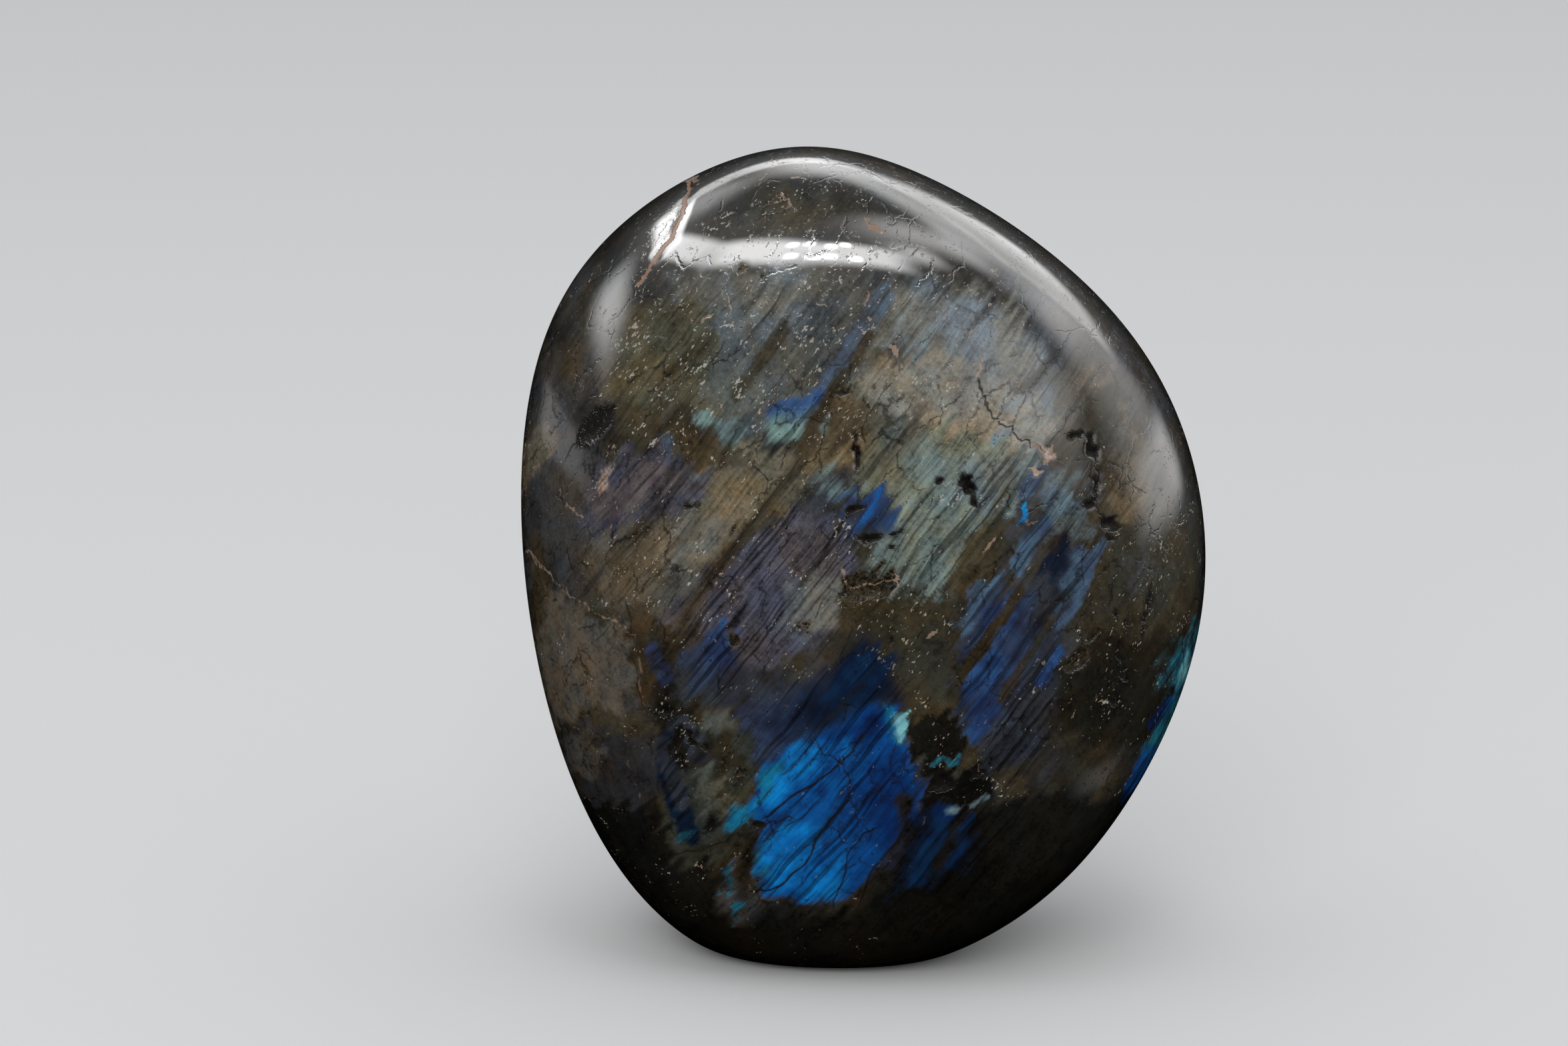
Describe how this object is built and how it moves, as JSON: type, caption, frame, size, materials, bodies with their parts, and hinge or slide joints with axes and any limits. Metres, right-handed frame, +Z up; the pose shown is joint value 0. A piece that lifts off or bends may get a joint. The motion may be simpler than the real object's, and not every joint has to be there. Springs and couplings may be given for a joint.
{
  "type": "polished labradorite freeform stone",
  "caption": "Upright polished labradorite display stone, an irregular pebble form with a flat cut base and blue iridescent flash on its broad faces.",
  "frame": {"origin": "on the flat cut base, midway across the stone's width and depth", "axes": "+Z up through the stone's height, +X towards the stone's right as seen from its front, front with the large blue flash towards -Y"},
  "size_m": [0.0948, 0.0624, 0.1117],
  "materials": {
    "labradorite": "polished"
  },
  "bodies": {
    "root": {"labradorite_stone": "labradorite"}
  },
  "joints": []
}
